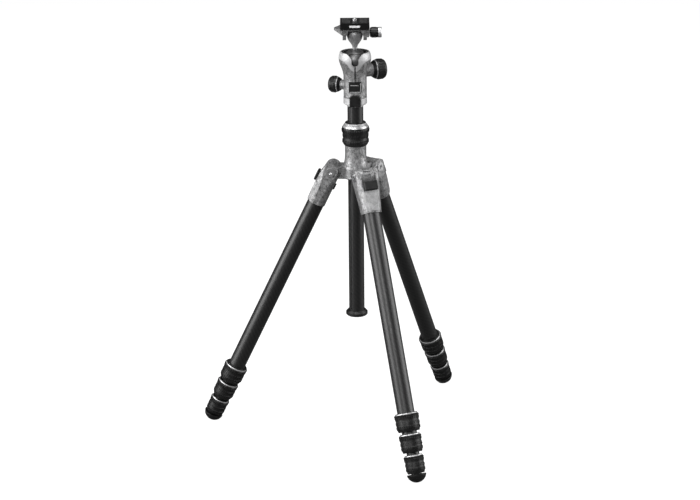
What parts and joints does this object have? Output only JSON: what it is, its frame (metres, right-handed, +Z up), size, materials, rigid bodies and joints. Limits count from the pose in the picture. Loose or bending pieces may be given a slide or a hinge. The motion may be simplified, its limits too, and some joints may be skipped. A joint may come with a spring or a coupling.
{
  "type": "travel tripod",
  "caption": "Compact camera tripod with telescoping carbon legs, twist locks, sliding centre column, ball head and quick-release plate.",
  "frame": {"origin": "floor point under the centre column's axis, with the legs at their first angle stop", "axes": "+Z up the centre column; -Y towards the side of the ball head that carries the drop notch; +X to the right of that side"},
  "size_m": [0.381, 0.4049, 0.6249],
  "materials": {
    "carbon": "dark woven carbon tube under clear coat",
    "casting": "hammered silver-grey paint",
    "bright_casting": "satin light silver",
    "grip_rubber": "ribbed black rubber",
    "foot_rubber": "black rubber",
    "black_plastic": "black",
    "liner": "dark grey sliding liner",
    "black_metal": "black anodised",
    "grey_metal": "dark grey anodised",
    "steel": "satin steel",
    "pad_rubber": "fine ribbed pad"
  },
  "bodies": {
    "spider": {"spider_casting": "casting", "column_bush": "liner", "pivot_bolts": "steel"},
    "column": {"column_tube": "carbon", "column_top_plate": "bright_casting", "head_stud": "steel", "column_bottom_cap": "black_plastic", "pan_base": "bright_casting"},
    "column_lock": {"column_lock_grip": "grip_rubber", "column_lock_ring": "bright_casting"},
    "head": {"head_housing": "casting", "housing_collar": "bright_casting", "label_plate": "black_plastic", "ball_seat": "liner"},
    "ball_body": {"ball": "grey_metal"},
    "neck": {"ball_neck": "grey_metal"},
    "clamp": {"clamp_base": "casting"},
    "jaw": {"clamp_jaw": "casting"},
    "jaw_knob": {"clamp_screw": "steel", "clamp_knob": "black_metal"},
    "plate": {"quick_release_plate": "black_metal", "plate_pads": "pad_rubber"},
    "thumb_screw": {"camera_screw": "steel"},
    "main_knob": {"main_knob_core": "bright_casting", "main_knob_grip": "grip_rubber"},
    "pan_knob": {"pan_knob_core": "bright_casting", "pan_knob_grip": "grip_rubber"},
    "leg_a": {"leg_a_hinge": "casting", "leg_a_tube_1": "carbon", "leg_a_bumper": "foot_rubber"},
    "leg_a_tab": {"leg_a_angle_lock": "black_plastic"},
    "leg_a_twist_1": {"leg_a_lock_1": "grip_rubber"},
    "leg_a_section_2": {"leg_a_tube_2": "carbon"},
    "leg_a_twist_2": {"leg_a_lock_2": "grip_rubber"},
    "leg_a_section_3": {"leg_a_tube_3": "carbon"},
    "leg_a_twist_3": {"leg_a_lock_3": "grip_rubber"},
    "leg_a_section_4": {"leg_a_tube_4": "carbon", "leg_a_foot": "foot_rubber"},
    "leg_b": {"leg_b_hinge": "casting", "leg_b_tube_1": "carbon", "leg_b_bumper": "foot_rubber"},
    "leg_b_tab": {"leg_b_angle_lock": "black_plastic"},
    "leg_b_twist_1": {"leg_b_lock_1": "grip_rubber"},
    "leg_b_section_2": {"leg_b_tube_2": "carbon"},
    "leg_b_twist_2": {"leg_b_lock_2": "grip_rubber"},
    "leg_b_section_3": {"leg_b_tube_3": "carbon"},
    "leg_b_twist_3": {"leg_b_lock_3": "grip_rubber"},
    "leg_b_section_4": {"leg_b_tube_4": "carbon", "leg_b_foot": "foot_rubber"},
    "leg_c": {"leg_c_hinge": "casting", "leg_c_tube_1": "carbon", "leg_c_bumper": "foot_rubber"},
    "leg_c_tab": {"leg_c_angle_lock": "black_plastic"},
    "leg_c_twist_1": {"leg_c_lock_1": "grip_rubber"},
    "leg_c_section_2": {"leg_c_tube_2": "carbon"},
    "leg_c_twist_2": {"leg_c_lock_2": "grip_rubber"},
    "leg_c_section_3": {"leg_c_tube_3": "carbon"},
    "leg_c_twist_3": {"leg_c_lock_3": "grip_rubber"},
    "leg_c_section_4": {"leg_c_tube_4": "carbon", "leg_c_foot": "foot_rubber"}
  },
  "joints": [
    {"name": "leg_a_swing", "type": "hinge", "parent": "spider", "child": "leg_a", "pos_m": [-0.03456, 0.00486, 0.40098], "axis": [0.1392, 0.9903, 0], "range_deg": [-25.5, 145]},
    {"name": "leg_b_swing", "type": "hinge", "parent": "spider", "child": "leg_b", "pos_m": [0.01307, -0.03236, 0.40098], "axis": [-0.9272, -0.3746, 0], "range_deg": [-25.5, 145]},
    {"name": "leg_c_swing", "type": "hinge", "parent": "spider", "child": "leg_c", "pos_m": [0.02149, 0.0275, 0.40098], "axis": [0.788, -0.6157, 0], "range_deg": [-25.5, 145]},
    {"name": "column_slide", "type": "slide", "parent": "spider", "child": "column", "axis": [0, 0, 1], "range_m": [-0.024, 0.19]},
    {"name": "head_pan", "type": "hinge", "parent": "column", "child": "head", "pos_m": [0, 0, 0.51038], "axis": [0, 0, 1], "continuous": true},
    {"name": "ball_tilt_side", "type": "hinge", "parent": "head", "child": "ball_body", "pos_m": [0, 0, 0.56388], "axis": [0, 1, 0], "range_deg": [-30, 30]},
    {"name": "ball_tilt_front", "type": "hinge", "parent": "ball_body", "child": "neck", "pos_m": [0, 0, 0.56388], "axis": [-1, 0, 0], "range_deg": [-90, 30]},
    {"name": "clamp_spin", "type": "hinge", "parent": "neck", "child": "clamp", "pos_m": [0, 0, 0.60938], "axis": [0, 0, 1], "continuous": true},
    {"name": "plate_slide", "type": "slide", "parent": "clamp", "child": "plate", "axis": [0, -1, 0], "range_m": [0, 0.035]},
    {"name": "clamp_knob_turn", "type": "hinge", "parent": "jaw", "child": "jaw_knob", "pos_m": [0.03, 0, 0.60408], "axis": [1, 0, 0], "range_deg": [0, 860]},
    {"name": "clamp_jaw_slide", "type": "slide", "parent": "clamp", "child": "jaw", "axis": [1, 0, 0], "range_m": [0, 0.003]},
    {"name": "camera_screw_turn", "type": "hinge", "parent": "plate", "child": "thumb_screw", "pos_m": [0, 0, 0.62088], "axis": [0, 0, 1], "continuous": true},
    {"name": "main_knob_turn", "type": "hinge", "parent": "head", "child": "main_knob", "pos_m": [0.02819, 0.01026, 0.54778], "axis": [0.9397, 0.342, 0], "range_deg": [0, 270]},
    {"name": "pan_knob_turn", "type": "hinge", "parent": "head", "child": "pan_knob", "pos_m": [-0.02853, 0.00927, 0.52678], "axis": [-0.9511, 0.309, 0], "range_deg": [0, 270]},
    {"name": "column_lock_turn", "type": "hinge", "parent": "spider", "child": "column_lock", "pos_m": [0, 0, 0.45138], "axis": [0, 0, 1], "range_deg": [0, 90]},
    {"name": "leg_a_section_2_slide", "type": "slide", "parent": "leg_a", "child": "leg_a_section_2", "axis": [-0.4263, 0.0599, -0.9026], "range_m": [0, 0.26]},
    {"name": "leg_a_section_3_slide", "type": "slide", "parent": "leg_a_section_2", "child": "leg_a_section_3", "axis": [-0.4263, 0.0599, -0.9026], "range_m": [0, 0.26]},
    {"name": "leg_a_section_4_slide", "type": "slide", "parent": "leg_a_section_3", "child": "leg_a_section_4", "axis": [-0.4263, 0.0599, -0.9026], "range_m": [0, 0.26]},
    {"name": "leg_a_angle_lock_slide", "type": "slide", "parent": "leg_a", "child": "leg_a_tab", "axis": [-0.4263, 0.0599, -0.9026], "range_m": [0, 0.004]},
    {"name": "leg_a_lock_1_turn", "type": "hinge", "parent": "leg_a", "child": "leg_a_twist_1", "pos_m": [-0.1859, 0.02613, 0.08056], "axis": [-0.4263, 0.0599, -0.9026], "range_deg": [0, 90]},
    {"name": "leg_a_lock_2_turn", "type": "hinge", "parent": "leg_a_section_2", "child": "leg_a_twist_2", "pos_m": [-0.19869, 0.02792, 0.05348], "axis": [-0.4263, 0.0599, -0.9026], "range_deg": [0, 90]},
    {"name": "leg_a_lock_3_turn", "type": "hinge", "parent": "leg_a_section_3", "child": "leg_a_twist_3", "pos_m": [-0.21148, 0.02972, 0.0264], "axis": [-0.4263, 0.0599, -0.9026], "range_deg": [0, 90]},
    {"name": "leg_b_section_2_slide", "type": "slide", "parent": "leg_b", "child": "leg_b_section_2", "axis": [0.1613, -0.3992, -0.9026], "range_m": [0, 0.26]},
    {"name": "leg_b_section_3_slide", "type": "slide", "parent": "leg_b_section_2", "child": "leg_b_section_3", "axis": [0.1613, -0.3992, -0.9026], "range_m": [0, 0.26]},
    {"name": "leg_b_section_4_slide", "type": "slide", "parent": "leg_b_section_3", "child": "leg_b_section_4", "axis": [0.1613, -0.3992, -0.9026], "range_m": [0, 0.26]},
    {"name": "leg_b_angle_lock_slide", "type": "slide", "parent": "leg_b", "child": "leg_b_tab", "axis": [0.1613, -0.3992, -0.9026], "range_m": [0, 0.004]},
    {"name": "leg_b_lock_1_turn", "type": "hinge", "parent": "leg_b", "child": "leg_b_twist_1", "pos_m": [0.07032, -0.17406, 0.08056], "axis": [0.1613, -0.3992, -0.9026], "range_deg": [0, 90]},
    {"name": "leg_b_lock_2_turn", "type": "hinge", "parent": "leg_b_section_2", "child": "leg_b_twist_2", "pos_m": [0.07516, -0.18604, 0.05348], "axis": [0.1613, -0.3992, -0.9026], "range_deg": [0, 90]},
    {"name": "leg_b_lock_3_turn", "type": "hinge", "parent": "leg_b_section_3", "child": "leg_b_twist_3", "pos_m": [0.08, -0.19801, 0.0264], "axis": [0.1613, -0.3992, -0.9026], "range_deg": [0, 90]},
    {"name": "leg_c_section_2_slide", "type": "slide", "parent": "leg_c", "child": "leg_c_section_2", "axis": [0.265, 0.3392, -0.9026], "range_m": [0, 0.26]},
    {"name": "leg_c_section_3_slide", "type": "slide", "parent": "leg_c_section_2", "child": "leg_c_section_3", "axis": [0.265, 0.3392, -0.9026], "range_m": [0, 0.26]},
    {"name": "leg_c_section_4_slide", "type": "slide", "parent": "leg_c_section_3", "child": "leg_c_section_4", "axis": [0.265, 0.3392, -0.9026], "range_m": [0, 0.26]},
    {"name": "leg_c_angle_lock_slide", "type": "slide", "parent": "leg_c", "child": "leg_c_tab", "axis": [0.265, 0.3392, -0.9026], "range_m": [0, 0.004]},
    {"name": "leg_c_lock_1_turn", "type": "hinge", "parent": "leg_c", "child": "leg_c_twist_1", "pos_m": [0.11558, 0.14793, 0.08056], "axis": [0.265, 0.3392, -0.9026], "range_deg": [0, 90]},
    {"name": "leg_c_lock_2_turn", "type": "hinge", "parent": "leg_c_section_2", "child": "leg_c_twist_2", "pos_m": [0.12353, 0.15811, 0.05348], "axis": [0.265, 0.3392, -0.9026], "range_deg": [0, 90]},
    {"name": "leg_c_lock_3_turn", "type": "hinge", "parent": "leg_c_section_3", "child": "leg_c_twist_3", "pos_m": [0.13148, 0.16829, 0.0264], "axis": [0.265, 0.3392, -0.9026], "range_deg": [0, 90]}
  ],
  "couplings": [
    {"joint": "clamp_jaw_slide", "follows": "clamp_knob_turn", "m_per_rad": 0.00019894}
  ]
}
